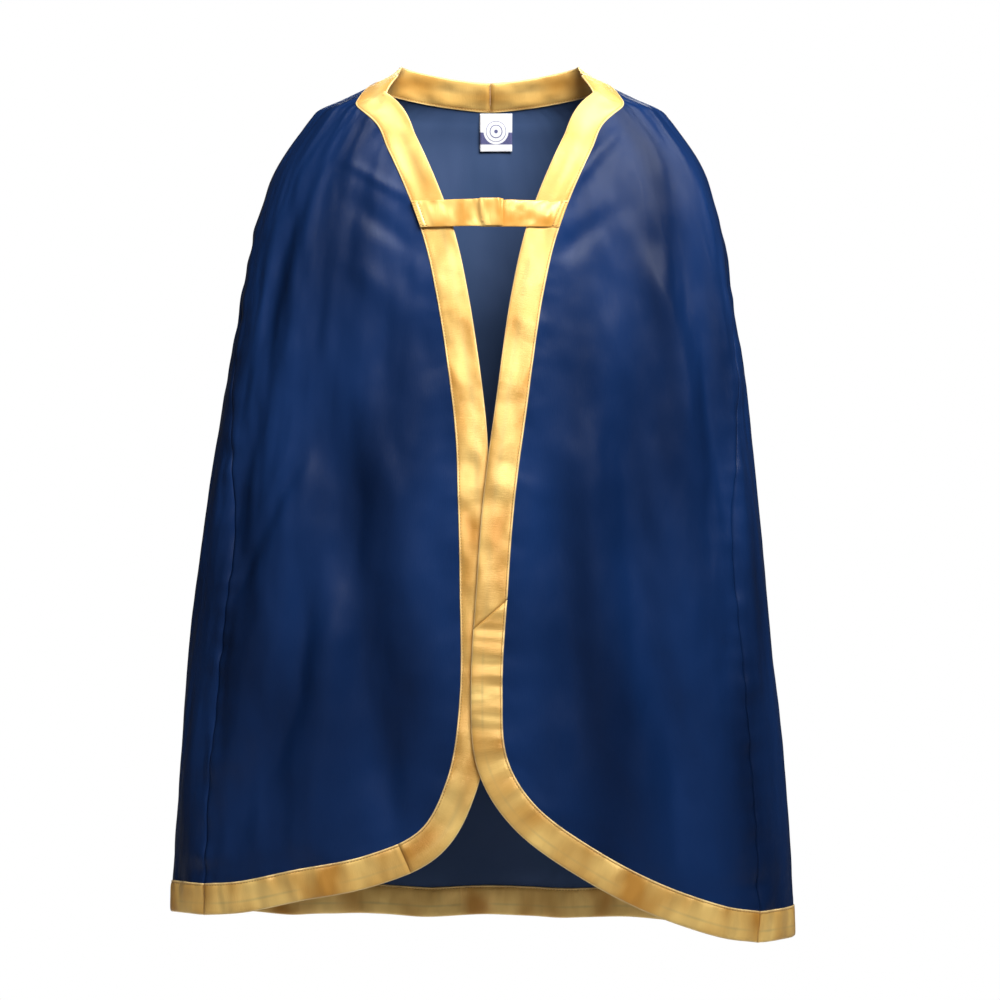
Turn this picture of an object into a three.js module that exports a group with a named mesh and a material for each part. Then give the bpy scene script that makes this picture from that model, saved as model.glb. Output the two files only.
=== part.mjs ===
import * as THREE from "three";

// A child's satin superhero cape: a back panel and two fronts, bound all round with a folded
// satin strip, and closed at the chest by two short straps with hook and loop tape.
// Millimetres, +Z up, the front faces -Y and +X is the wearer's left.
// Places on the cloth are given by a turn around the body (0 at the centre back, positive
// toward the wearer's left, half a turn at the centre front) and a height.

// Finished size of the hanging cape
const capeLength = 700;
const capeWidth = 524;
const capeDepth = 176;

// Cloth
const panelThickness = 0.6;
const leafThickness = 0.4;
const bindingWidth = 26;
const seamAllowance = 8;
const threadRadius = 0.2;

// Fits
const slotEase = 0.05;
const allowanceEndClearance = 1;
const jointGap = 0.4;
const layGap = 0.3;
const threadGap = 0.2;
const lapClearance = 1.4;

// Closure straps
const strapWidth = 22;
const strapThickness = 1.2;
const strapHeight = -95;
const sewnEndLength = 7.5;
const sewnEndMargin = 0.6;
const topStrapReach = 11;
const underStrapReach = 8;
const hingeStandoff = 0.2;
const tapeThickness = 1.2;
const tapeWidth = 17;
const tapeLength = 15;
const tapeMargin = 2.2;

// Neck label
const labelWidth = 28;
const labelDrop = 32;
const labelThickness = 0.8;
const labelOffset = 5;
const labelGap = 0.5;

// Stitching
const stitchInset = 1.8;
const stitchMargin = 1.5;

// Pattern, drafted at a base size and graded to the finished size above
const drafted = { length: 700, width: 524, depth: 176 };
const grade = {
  across: capeWidth / drafted.width,
  through: capeDepth / drafted.depth,
  down: capeLength / drafted.length,
};

// Outline of the body the cape hangs on: height, half width, depth in front, depth behind
const bodyOutline = [
  [-720, 263, 88, 88],
  [-580, 256, 84, 84],
  [-450, 244.5, 80, 81],
  [-329, 231, 77, 78],
  [-176, 209.5, 72, 74],
  [-88, 193, 66, 68],
  [-46, 177.5, 58, 63],
  [-20, 160, 50, 59],
  [-8, 151, 46, 56],
  [-1.5, 145, 43, 54.5],
  [8, 124, 38, 51],
  [19, 101.5, 30, 42],
  [32, 75, 20, 30],
];
const hemSway = -7;
const swayFull = 450;

// Neckline and shoulders
const neckPoint = 19;
const backNeckHeight = 5.3;
const backNeckFullness = 1.2;
const shoulderTip = -8;
const standAngle = THREE.MathUtils.degToRad(28);

// Side seams leave the shoulder line and drift toward the front
const seamDrift = THREE.MathUtils.degToRad(28);
const seamDriftStart = 60;
const seamDriftEnd = 400;

// The wearer's left front laps over the right one from the chest down
const lapTurnStart = THREE.MathUtils.degToRad(120);
const lapTurnFull = THREE.MathUtils.degToRad(160);
const lapHeightStart = 110;
const lapHeightFull = 240;

// Front edges: distance from the centre and height, from the neck down to the hem
const sharedNeckline = [
  [95, -16.5],
  [85, -38],
  [74, -62],
  [56, -109],
  [43, -165],
  [29, -264],
];
const leftFrontEdge = [
  [20.5, -329],
  [15, -400],
  [10.5, -485],
  [15, -540],
  [38, -577],
  [85, -612],
  [140, -642],
  [195, -663],
];
const rightFrontEdge = [
  [26, -329],
  [24.5, -400],
  [24.5, -490],
  [35, -556],
  [58, -598],
  [101, -618],
  [160, -631],
  [205, -642],
];
const leftHemHeight = -669;
const rightHemHeight = -646;
const backHemHeight = -667;
const leftCornerHeight = -590;
const rightCornerHeight = -602;
const leftJoinHeight = -422;
const rightJoinHeight = -608;

// Facet counts
const backSteps = 14;
const frontEdgeSteps = 54;
const backRows = 26;
const loopSteps = 3;
const turnSpread = 200;
const neckLead = { turn: THREE.MathUtils.degToRad(104), height: 17.4 };
const slopeTurn = 0.001;
const slopeHeight = 0.05;

const slotHalf = panelThickness / 2 + slotEase * seamAllowance;
const bindingHalf = slotHalf + leafThickness;
const frontLap = 2 * bindingHalf + lapClearance;
const strapLift = bindingHalf + 2 * (threadGap + threadRadius) + strapThickness / 2;
const loopLift = strapLift + strapThickness / 2 + layGap + tapeThickness / 2;
const hookLift = loopLift + tapeThickness + layGap;
const topStrapLift = hookLift + tapeThickness / 2 + layGap + strapThickness / 2;
const threadLift = threadGap + threadRadius;

const quarterTurn = Math.PI / 2;
const smooth = (from, to, value) => THREE.MathUtils.smoothstep(value, from, to);

const bodyCurve = new THREE.CubicInterpolant(
  bodyOutline.map(([height]) => height * grade.down),
  bodyOutline.flatMap(([, half, front, back]) => [
    half * grade.across,
    front * grade.through,
    back * grade.through,
  ]),
  3,
);

function bodyAt(height) {
  const [halfWidth, front, back] = bodyCurve.evaluate(height);
  return { halfWidth, front, back, sway: hemSway * smooth(0, swayFull * grade.down, -height) };
}

function bodyPoint(turn, height) {
  const body = bodyAt(height);
  const depth = Math.abs(turn) > quarterTurn ? body.front : body.back;
  const lapped = smooth(lapTurnStart, lapTurnFull, Math.abs(turn))
    * smooth(lapHeightStart * grade.down, lapHeightFull * grade.down, -height);
  return new THREE.Vector3(
    body.sway + body.halfWidth * Math.sin(turn),
    depth * Math.cos(turn) - Math.sign(turn) * lapped * frontLap / 2,
    height,
  );
}

function bodyNormal(turn, height) {
  const around = bodyPoint(turn + slopeTurn, height).sub(bodyPoint(turn - slopeTurn, height));
  const upward = bodyPoint(turn, height + slopeHeight).sub(bodyPoint(turn, height - slopeHeight));
  return upward.cross(around).normalize();
}

function turnAt(side, x, height) {
  const body = bodyAt(height);
  return side * Math.PI - Math.asin((x - body.sway) / body.halfWidth);
}

function seamTurn(side, height) {
  const drift = smooth(seamDriftStart * grade.down, seamDriftEnd * grade.down, -height);
  return side * (quarterTurn + seamDrift * drift);
}

function backNeckStation(turn) {
  const rise = Math.abs(Math.cos(quarterTurn - Math.abs(turn))) ** backNeckFullness;
  const height = backNeckHeight + (neckPoint - backNeckHeight) * rise;
  return { turn, height: height * grade.down };
}

function frontEdgeStations(side) {
  const edge = side > 0 ? leftFrontEdge : rightFrontEdge;
  const hem = (side > 0 ? leftHemHeight : rightHemHeight) * grade.down;
  const marks = [
    { turn: side * quarterTurn, height: neckPoint * grade.down },
    { turn: side * neckLead.turn, height: neckLead.height * grade.down },
  ];
  for (const [distance, height] of [...sharedNeckline, ...edge]) {
    const level = height * grade.down;
    marks.push({ turn: turnAt(side, side * distance * grade.across, level), height: level });
  }
  marks.push({ turn: seamTurn(side, hem), height: hem });
  const curve = new THREE.CatmullRomCurve3(
    marks.map(({ turn, height }) => new THREE.Vector3(turn * turnSpread, height, 0)),
  );
  return curve.getSpacedPoints(frontEdgeSteps).map(({ x, y }) => ({ turn: x / turnSpread, height: y }));
}

// A frame at each station: point, direction of travel, outward normal and width direction
function frameChain(stations, handed, lean = () => 0) {
  const points = stations.map(({ turn, height }) => bodyPoint(turn, height));
  return stations.map(({ turn, height }, index) => {
    const before = points[Math.max(index - 1, 0)];
    const after = points[Math.min(index + 1, points.length - 1)];
    const surface = bodyNormal(turn, height);
    const travel = after.clone().sub(before).projectOnPlane(surface).normalize();
    const width = travel.clone().cross(surface).multiplyScalar(handed);
    const angle = lean(turn);
    const leanedWidth = width.clone().multiplyScalar(Math.cos(angle)).addScaledVector(surface, Math.sin(angle));
    const normal = surface.clone().multiplyScalar(Math.cos(angle)).addScaledVector(width, -Math.sin(angle));
    return { turn, height, point: points[index], travel, normal, width: leanedWidth };
  });
}

// The strip stands up behind the neck and lies flat on the chest, with both its edges on the curve
function bindingLean(turn) {
  if (Math.abs(turn) < quarterTurn) {
    return standAngle * Math.sin(2 * turn) ** 2;
  }
  const chest = bodyAt(strapHeight * grade.down);
  const chestRadius = chest.halfWidth ** 2 / chest.front;
  return -Math.asin(bindingWidth / 2 / chestRadius) * smooth(quarterTurn, lapTurnStart, Math.abs(turn));
}

function spot(frame, along, across, lift) {
  return frame.point.clone()
    .addScaledVector(frame.travel, along)
    .addScaledVector(frame.width, across)
    .addScaledVector(frame.normal, lift);
}

// The whole bound edge of one side, from the centre back over the shoulder to the side seam
function boundEdge(side) {
  const stations = [backNeckStation(-side * quarterTurn / backSteps)];
  for (let step = 0; step < backSteps; step += 1) {
    stations.push(backNeckStation(side * quarterTurn * step / backSteps));
  }
  stations.push(...frontEdgeStations(side));
  return frameChain(stations, side, bindingLean).slice(1);
}

function hemStation(turn) {
  const side = turn < 0 ? -1 : 1;
  const end = (side > 0 ? leftHemHeight : rightHemHeight) * grade.down;
  const reach = Math.abs(turn / seamTurn(side, end));
  const middle = backHemHeight * grade.down;
  return { turn, height: middle + (end - middle) * smooth(0, 1, reach) };
}

function backHem() {
  const stations = [];
  for (let step = -backSteps; step <= backSteps; step += 1) {
    const side = step < 0 ? -1 : 1;
    const end = (side > 0 ? leftHemHeight : rightHemHeight) * grade.down;
    stations.push(hemStation(seamTurn(side, end) * Math.abs(step) / backSteps));
  }
  return frameChain(stations, -1);
}

function finish(positions, index) {
  const geometry = new THREE.BufferGeometry();
  geometry.setAttribute("position", new THREE.Float32BufferAttribute(positions, 3));
  let volume = 0;
  const corner = (place) => new THREE.Vector3().fromArray(positions, index[place] * 3);
  for (let place = 0; place < index.length; place += 3) {
    volume += corner(place).dot(corner(place + 1).cross(corner(place + 2)));
  }
  geometry.setIndex(volume < 0 ? index.slice().reverse() : index);
  geometry.computeVertexNormals();
  return geometry;
}

// A sheet of cloth made solid: both faces and a wall along every open edge
function thicken(sheet, thickness) {
  const count = sheet.points.length;
  const positions = [];
  for (const face of [1, -1]) {
    sheet.points.forEach((point, place) => {
      positions.push(...point.clone().addScaledVector(sheet.normals[place], face * thickness / 2));
    });
  }
  const index = [];
  const edges = new Set();
  for (const [a, b, c] of sheet.triangles) {
    index.push(a, b, c, c + count, b + count, a + count);
    for (const [from, to] of [[a, b], [b, c], [c, a]]) {
      edges.add(`${from} ${to}`);
    }
  }
  for (const edge of edges) {
    const [from, to] = edge.split(" ").map(Number);
    if (!edges.has(`${to} ${from}`)) {
      index.push(to, from, from + count, to, from + count, to + count);
    }
  }
  return finish(positions, index);
}

function gridTriangles(rows, columns, place) {
  const triangles = [];
  for (let row = 0; row < rows; row += 1) {
    for (let column = 0; column < columns; column += 1) {
      const a = place(row, column);
      const b = place(row, column + 1);
      const c = place(row + 1, column + 1);
      const d = place(row + 1, column);
      triangles.push([a, b, c], [a, c, d]);
    }
  }
  return triangles;
}

function loft(rings, outline, closed = false) {
  const count = outline.length;
  const positions = rings.flat().flatMap((point) => point.toArray());
  const index = [];
  const spans = closed ? rings.length : rings.length - 1;
  for (let ring = 0; ring < spans; ring += 1) {
    const next = (ring + 1) % rings.length;
    for (let place = 0; place < count; place += 1) {
      const after = (place + 1) % count;
      const a = ring * count + place;
      const b = ring * count + after;
      const c = next * count + after;
      const d = next * count + place;
      const rising = outline[after].x >= outline[place].x;
      index.push(...(rising ? [a, b, c, a, c, d] : [a, b, d, b, c, d]));
    }
  }
  if (!closed) {
    const last = (rings.length - 1) * count;
    const outlineTurn = Math.sign(THREE.ShapeUtils.area(outline));
    for (const cap of THREE.ShapeUtils.triangulateShape(outline, [])) {
      const capTurn = Math.sign(THREE.ShapeUtils.area(cap.map((place) => outline[place])));
      const [a, b, c] = capTurn === outlineTurn ? cap : cap.slice().reverse();
      index.push(c, b, a, last + a, last + b, last + c);
    }
  }
  return finish(positions, index);
}

const squareOutline = [[1, 1], [-1, 1], [-1, -1], [1, -1]]
  .map(([u, v]) => new THREE.Vector2(u, v).multiplyScalar(threadRadius / Math.SQRT2));

function cord(points, normals, closed = false) {
  const count = points.length;
  const rings = points.map((point, place) => {
    const before = closed ? points[(place + count - 1) % count] : points[Math.max(place - 1, 0)];
    const after = closed ? points[(place + 1) % count] : points[Math.min(place + 1, count - 1)];
    const beside = after.clone().sub(before).cross(normals[place]).normalize();
    return squareOutline.map(({ x, y }) => point.clone()
      .addScaledVector(beside, x)
      .addScaledVector(normals[place], y));
  });
  return loft(rings, squareOutline, closed);
}

// The binding is a strip folded in half over the cloth edge, which sits in the slot between its leaves
function bindingOutline() {
  const slotDepth = seamAllowance + allowanceEndClearance;
  const foldStart = bindingWidth - bindingHalf;
  return [
    [0, -bindingHalf],
    [foldStart, -bindingHalf],
    [bindingWidth, 0],
    [foldStart, bindingHalf],
    [0, bindingHalf],
    [0, slotHalf],
    [slotDepth, slotHalf],
    [slotDepth, -slotHalf],
    [0, -slotHalf],
  ].map(([u, v]) => new THREE.Vector2(u, v));
}

// Both ends of a strip are cut square or on the bias, and stop half a gap short of the joint
function binding(frames, startBias, endBias) {
  const outline = bindingOutline();
  const last = frames.length - 1;
  const bias = (place) => (place === 0 ? startBias : 0) + (place === last ? endBias : 0);
  const rings = frames.map((frame, place) => outline.map(({ x, y }) => (
    spot(frame, endGap(place, last) + bias(place) * (x - bindingWidth / 2), x, y)
  )));
  return loft(rings, outline);
}

function endGap(place, last) {
  if (place === 0) {
    return jointGap / 2;
  }
  return place === last ? -jointGap / 2 : 0;
}

function topstitch(frames) {
  const lift = bindingHalf + threadLift;
  const points = frames.map((frame, place) => (
    spot(frame, endGap(place, frames.length - 1), stitchInset, lift)
  ));
  return cord(points, frames.map((frame) => frame.normal));
}

function nearest(frames, height, from) {
  let best = from;
  for (let place = from; place < frames.length; place += 1) {
    if (Math.abs(frames[place].height - height) < Math.abs(frames[best].height - height)) {
      best = place;
    }
  }
  return best;
}

function countTo(last) {
  return Array.from({ length: last + 1 }, (_, step) => step);
}

function blend(across, down, edges) {
  const mix = (name) => {
    const { start, end, top, bottom, corners } = edges;
    const ruled = (1 - across) * start[name] + across * end[name]
      + (1 - down) * top[name] + down * bottom[name];
    const [a, b, c, d] = corners.map((corner) => corner[name]);
    const bilinear = (1 - down) * ((1 - across) * a + across * b) + down * ((1 - across) * c + across * d);
    return ruled - bilinear;
  };
  return { turn: mix("turn"), height: mix("height") };
}

// One front: a four-sided patch between the bound edge, the shoulder line, the side seam and the hem
function frontPanel(side, frames) {
  const edge = frames.slice(backSteps);
  const cornerHeight = (side > 0 ? leftCornerHeight : rightCornerHeight) * grade.down;
  const corner = nearest(edge, cornerHeight, 0);
  const rows = corner;
  const columns = edge.length - 1 - corner;
  const neck = edge[0];
  const hemEnd = edge[edge.length - 1];
  const tip = { turn: side * quarterTurn, height: shoulderTip * grade.down };
  const share = (row) => (neck.height - edge[row].height) / (neck.height - edge[corner].height);
  const seamAtShare = (part) => {
    const height = tip.height + (hemEnd.height - tip.height) * part;
    return { turn: seamTurn(side, height), height };
  };
  const shoulderAt = (part) => ({
    turn: side * quarterTurn,
    height: neck.height + (tip.height - neck.height) * part,
  });
  const outer = frameChain([
    ...countTo(columns).slice(0, -1).map((column) => shoulderAt(column / columns)),
    ...countTo(rows).map((row) => seamAtShare(share(row))),
  ], side);
  const points = [];
  const normals = [];
  const corners = [neck, tip, edge[corner], hemEnd];
  for (let row = 0; row <= rows; row += 1) {
    for (let column = 0; column <= columns; column += 1) {
      if (row === 0 || column === columns) {
        const frame = outer[row === 0 ? column : columns + row];
        points.push(spot(frame, 0, jointGap / 2, 0));
        normals.push(frame.normal);
      } else if (column === 0 || row === rows) {
        const frame = edge[column === 0 ? row : corner + column];
        points.push(frame.point);
        normals.push(frame.normal);
      } else {
        const part = column / columns;
        const down = share(row);
        const place = blend(part, down, {
          start: edge[row],
          end: seamAtShare(down),
          top: shoulderAt(part),
          bottom: edge[corner + column],
          corners,
        });
        points.push(bodyPoint(place.turn, place.height));
        normals.push(bodyNormal(place.turn, place.height));
      }
    }
  }
  const place = (row, column) => row * (columns + 1) + column;
  const rim = edge.map((frame, step) => (step <= corner ? place(step, 0) : place(rows, step - corner)));
  const sheet = patchWithAllowance({
    points,
    normals,
    triangles: gridTriangles(rows, columns, place),
    rims: [{ rim, frames: edge }],
  }, side);
  return { sheet, seam: outer };
}

// The seam allowance is a strip beyond the patch edge that runs up inside the binding
function patchWithAllowance({ points, normals, triangles, rims }, handed) {
  const sheet = { points, normals, triangles: handed > 0 ? triangles : triangles.map(([a, b, c]) => [c, b, a]) };
  for (const { rim, frames, forward = true, outward = () => true } of rims) {
    const first = sheet.points.length;
    frames.forEach((frame, step) => {
      sheet.points.push(spot(frame, endGap(step, frames.length - 1), seamAllowance, 0));
      sheet.normals.push(frame.normal);
    });
    for (let step = 0; step + 1 < frames.length; step += 1) {
      const [a, b, c, d] = [rim[step], rim[step + 1], first + step + 1, first + step];
      const halves = outward(frames[step]) ? [[a, b, c], [a, c, d]] : [[a, b, d], [b, c, d]];
      const turned = forward === handed > 0;
      sheet.triangles.push(...(turned ? halves : halves.map((half) => half.slice().reverse())));
    }
  }
  return sheet;
}

// The back: a four-sided patch between the neckline, both side seams and the hem
function backPanel(leftEdge, rightEdge, hem) {
  const columns = 2 * backSteps;
  const neckFrames = [
    ...rightEdge.slice(1, backSteps + 1).reverse()
      .map((frame) => ({ ...frame, travel: frame.travel.clone().negate() })),
    ...leftEdge.slice(0, backSteps + 1),
  ];
  const seamPlace = (side, down) => {
    const end = hem[side > 0 ? columns : 0].height;
    const height = neckPoint * grade.down + (end - neckPoint * grade.down) * down;
    return { turn: seamTurn(side, height), height };
  };
  const share = (row) => (row / backRows) ** 1.5;
  const chains = [-1, 1].map((side) => {
    const stations = [];
    for (let row = 0; row <= backRows; row += 1) {
      stations.push(seamPlace(side, share(row)));
    }
    return frameChain(stations, -side);
  });
  const corners = [seamPlace(-1, 0), seamPlace(1, 0), seamPlace(-1, 1), seamPlace(1, 1)];
  const points = [];
  const normals = [];
  for (let row = 0; row <= backRows; row += 1) {
    for (let column = 0; column <= columns; column += 1) {
      if (column === 0 || column === columns) {
        const frame = chains[column === 0 ? 0 : 1][row];
        points.push(spot(frame, 0, jointGap / 2, 0));
        normals.push(frame.normal);
      } else if (row === 0 || row === backRows) {
        const frame = (row === 0 ? neckFrames : hem)[column];
        points.push(frame.point);
        normals.push(frame.normal);
      } else {
        const place = blend(column / columns, share(row), {
          start: seamPlace(-1, share(row)),
          end: seamPlace(1, share(row)),
          top: neckFrames[column],
          bottom: hem[column],
          corners,
        });
        points.push(bodyPoint(place.turn, place.height));
        normals.push(bodyNormal(place.turn, place.height));
      }
    }
  }
  const place = (row, column) => row * (columns + 1) + column;
  return patchWithAllowance({
    points,
    normals,
    triangles: gridTriangles(backRows, columns, place),
    rims: [
      {
        rim: hem.map((frame, column) => place(0, column)),
        frames: neckFrames,
        forward: false,
        outward: (frame) => frame.turn >= 0,
      },
      { rim: hem.map((frame, column) => place(backRows, column)), frames: hem },
    ],
  }, 1);
}

function frontSpot(x, height, lift) {
  const turn = turnAt(1, x, height);
  return {
    point: bodyPoint(turn, height).addScaledVector(bodyNormal(turn, height), lift),
    normal: bodyNormal(turn, height),
  };
}

// Distance of the bound edge from the centre at a height on the chest
function chestEdge(frames, height) {
  const place = frames.findIndex((frame) => Math.abs(frame.turn) > quarterTurn && frame.height < height);
  const [above, below] = [frames[place - 1], frames[place]];
  const part = (above.height - height) / (above.height - below.height);
  return above.point.x + (below.point.x - above.point.x) * part;
}

// A strip laid across the chest between two slanted ends, given as x at its top and bottom edges
function chestStrip(from, to, width, thickness, liftAt, steps) {
  const rows = 2;
  const middle = strapHeight * grade.down;
  const sheet = { points: [], normals: [], triangles: [] };
  for (let row = 0; row <= rows; row += 1) {
    const height = middle + width * (0.5 - row / rows);
    for (let step = 0; step <= steps; step += 1) {
      const part = step / steps;
      const start = from[0] + (from[1] - from[0]) * row / rows;
      const end = to[0] + (to[1] - to[0]) * row / rows;
      const { point, normal } = frontSpot(start + (end - start) * part, height, liftAt(part));
      sheet.points.push(point);
      sheet.normals.push(normal);
    }
  }
  sheet.triangles = gridTriangles(rows, steps, (row, step) => row * (steps + 1) + step);
  return thicken(sheet, thickness);
}

function chestLoop(corners, lift) {
  const spots = corners.flatMap(([x, height], place) => {
    const [nextX, nextHeight] = corners[(place + 1) % corners.length];
    return countTo(loopSteps - 1).map((step) => frontSpot(
      x + (nextX - x) * step / loopSteps,
      height + (nextHeight - height) * step / loopSteps,
      lift,
    ));
  });
  return cord(spots.map(({ point }) => point), spots.map(({ normal }) => normal), true);
}

function strapLines(side, frames) {
  const middle = strapHeight * grade.down;
  const outer = [1, -1].map((end) => chestEdge(frames, middle + end * strapWidth / 2));
  const shifted = (inset) => outer.map((x) => x - side * inset);
  return { outer: shifted(sewnEndMargin), hinge: shifted(sewnEndLength), shifted };
}

function strapPieces(side, frames) {
  const middle = strapHeight * grade.down;
  const { outer, hinge, shifted } = strapLines(side, frames);
  const reach = side < 0 ? topStrapReach : underStrapReach;
  const tip = [-side * reach, -side * reach];
  const raised = side < 0 ? topStrapLift : strapLift;
  const away = (line, gap) => line.map((x) => x + side * gap);
  const liftAt = (part) => strapLift + (raised - strapLift) * smooth(0.12, 0.6, part);
  const high = middle + strapWidth / 2 - stitchMargin;
  const low = middle - strapWidth / 2 + stitchMargin;
  const outerStitch = shifted(sewnEndMargin + stitchMargin);
  const innerStitch = shifted(sewnEndLength - stitchMargin);
  return {
    sewnEnd: chestStrip(outer, away(hinge, jointGap / 2), strapWidth, strapThickness, () => strapLift, 3),
    strap: chestStrip(away(hinge, -jointGap / 2), tip, strapWidth, strapThickness, liftAt, 16),
    box: chestLoop([
      [outerStitch[0], high],
      [innerStitch[0], high],
      [innerStitch[1], low],
      [outerStitch[1], low],
    ], strapLift + strapThickness / 2 + threadLift),
  };
}

function tape(lift) {
  const half = tapeLength / 2;
  const steps = 4;
  return chestStrip([half, half], [-half, -half], tapeWidth, tapeThickness, () => lift, steps);
}

function tapeStitch(lift) {
  const half = tapeLength / 2 - tapeMargin / 2;
  const rise = tapeWidth / 2 - tapeMargin / 2;
  const middle = strapHeight * grade.down;
  return chestLoop([[half, middle + rise], [-half, middle + rise], [-half, middle - rise],
    [half, middle - rise]], lift);
}

// The label is a folded tab that hangs from the neck seam against the lining side of the back
function neckLabel() {
  const steps = 4;
  const top = backNeckHeight * grade.down - layGap;
  const lift = -(panelThickness / 2 + labelGap + labelThickness / 2);
  const sheet = { points: [], normals: [] };
  for (let row = 0; row <= steps; row += 1) {
    const height = top - labelDrop * row / steps;
    for (let column = 0; column <= steps; column += 1) {
      const x = labelOffset + labelWidth * (column / steps - 0.5);
      const body = bodyAt(height);
      const turn = Math.asin((x - body.sway) / body.halfWidth);
      sheet.points.push(bodyPoint(turn, height).addScaledVector(bodyNormal(turn, height), lift));
      sheet.normals.push(bodyNormal(turn, height));
    }
  }
  sheet.triangles = gridTriangles(steps, steps, (row, column) => row * (steps + 1) + column);
  return thicken(sheet, labelThickness);
}

function sideSeamThread(seam) {
  const lift = panelThickness / 2 + threadLift;
  const run = seam.slice(1, -1);
  return cord(run.map((frame) => spot(frame, 0, 0, lift)), run.map((frame) => frame.normal));
}

function neckJoinThread(frame) {
  const points = [stitchMargin, bindingWidth / 2, bindingWidth - 2 * stitchMargin]
    .map((across) => spot(frame, 0, across, -bindingHalf - threadLift));
  return cord(points, points.map(() => frame.normal));
}

const cape = new THREE.Group();
cape.name = "superhero_cape";

const cloth = {
  navy: { color: 0x1f3562, roughness: 0.42, metalness: 0 },
  gold: { color: 0xe9bd78, roughness: 0.38, metalness: 0 },
  tape: { color: 0xdfd2b4, roughness: 0.9, metalness: 0 },
  label: { color: 0xf2f1ee, roughness: 0.5, metalness: 0 },
  goldThread: { color: 0xd9a75a, roughness: 0.6, metalness: 0 },
  navyThread: { color: 0x16284c, roughness: 0.6, metalness: 0 },
};

function add(name, geometry, finishName) {
  const mesh = new THREE.Mesh(geometry, new THREE.MeshStandardMaterial(cloth[finishName]));
  mesh.name = name;
  cape.add(mesh);
}

const hem = backHem();
const sides = [
  { side: 1, word: "left", edge: boundEdge(1), join: leftJoinHeight, bias: 1 },
  { side: -1, word: "right", edge: boundEdge(-1), join: rightJoinHeight, bias: 0 },
];

add("back_panel", thicken(backPanel(sides[0].edge, sides[1].edge, hem), panelThickness), "navy");
add("back_hem_binding", binding(hem, 0, 0), "gold");
add("back_hem_topstitch", topstitch(hem), "goldThread");

for (const { side, word, edge, join, bias } of sides) {
  const cut = nearest(edge, join * grade.down, backSteps);
  const straps = strapPieces(side, edge);
  const { sheet, seam } = frontPanel(side, edge);
  add(`${word}_front_panel`, thicken(sheet, panelThickness), "navy");
  add(`${word}_upper_binding`, binding(edge.slice(0, cut + 1), 0, bias), "gold");
  add(`${word}_lower_binding`, binding(edge.slice(cut), bias, 0), "gold");
  add(`${word}_topstitch`, topstitch(edge), "goldThread");
  add(`${word}_side_seam_thread`, sideSeamThread(seam), "navyThread");
  add(`${word}_strap_end`, straps.sewnEnd, "gold");
  add(`${word}_strap`, straps.strap, "gold");
  add(`${word}_strap_box_stitch`, straps.box, "goldThread");
}

add("neck_join_thread", neckJoinThread(sides[0].edge[0]), "goldThread");
add("loop_tape", tape(loopLift), "tape");
add("hook_tape", tape(hookLift), "tape");
add("loop_tape_stitch", tapeStitch(strapLift - strapThickness / 2 - threadLift), "goldThread");
add("hook_tape_stitch", tapeStitch(topStrapLift + strapThickness / 2 + threadLift), "goldThread");
add("neck_label", neckLabel(), "label");

export default cape;
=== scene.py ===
import math

import bmesh
import bpy
import numpy as np
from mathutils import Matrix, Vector, kdtree, noise


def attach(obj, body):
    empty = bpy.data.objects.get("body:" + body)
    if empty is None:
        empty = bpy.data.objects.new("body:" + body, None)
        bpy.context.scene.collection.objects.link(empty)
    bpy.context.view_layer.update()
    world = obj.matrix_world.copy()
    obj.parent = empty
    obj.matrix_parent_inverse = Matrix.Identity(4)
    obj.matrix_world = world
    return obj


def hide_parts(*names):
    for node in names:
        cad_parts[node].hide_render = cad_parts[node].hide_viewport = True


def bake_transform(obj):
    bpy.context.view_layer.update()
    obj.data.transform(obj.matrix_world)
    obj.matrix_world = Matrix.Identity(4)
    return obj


# A child's satin superhero cape, hanging open from its neckband.
# The cloth is shaped in millimetres and goes into Blender in metres. A place on the cloth is a turn
# round the body (0 at the centre back, positive toward the wearer's left) and a height.

MM = 0.001
QUARTER = math.pi / 2

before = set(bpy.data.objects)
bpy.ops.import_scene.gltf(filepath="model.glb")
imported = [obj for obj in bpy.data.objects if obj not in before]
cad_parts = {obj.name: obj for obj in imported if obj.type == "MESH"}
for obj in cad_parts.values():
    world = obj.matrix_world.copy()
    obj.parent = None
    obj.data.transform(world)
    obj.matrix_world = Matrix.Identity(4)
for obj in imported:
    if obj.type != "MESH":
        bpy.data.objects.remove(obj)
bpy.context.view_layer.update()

# The body the cape hangs on: height, half width, depth in front, depth behind
BODY_OUTLINE = np.array([
    (-720, 263, 88, 88), (-580, 256, 84, 84), (-450, 244.5, 80, 81), (-329, 231, 77, 78),
    (-176, 209.5, 72, 74), (-88, 193, 66, 68), (-46, 177.5, 58, 63), (-20, 160, 50, 59),
    (-8, 151, 46, 56), (-1.5, 145, 43, 54.5), (8, 124, 38, 51), (19, 101.5, 30, 42), (32, 75, 20, 30),
], float)
HEM_SWAY = -7
SWAY_FULL = 450
NECK_POINT = 19
BACK_NECK_HEIGHT = 5.3
BACK_NECK_FULLNESS = 1.2
SHOULDER_TIP = -8
STAND_ANGLE = math.radians(28)
SEAM_DRIFT = math.radians(28)
LAP_TURNS = math.radians(120), math.radians(160)
LAP_HEIGHTS = 110, 240

# Nominal millimetres of cloth to a radian, for patterns that run round the body
CLOTH_RADIUS = 210

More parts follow.
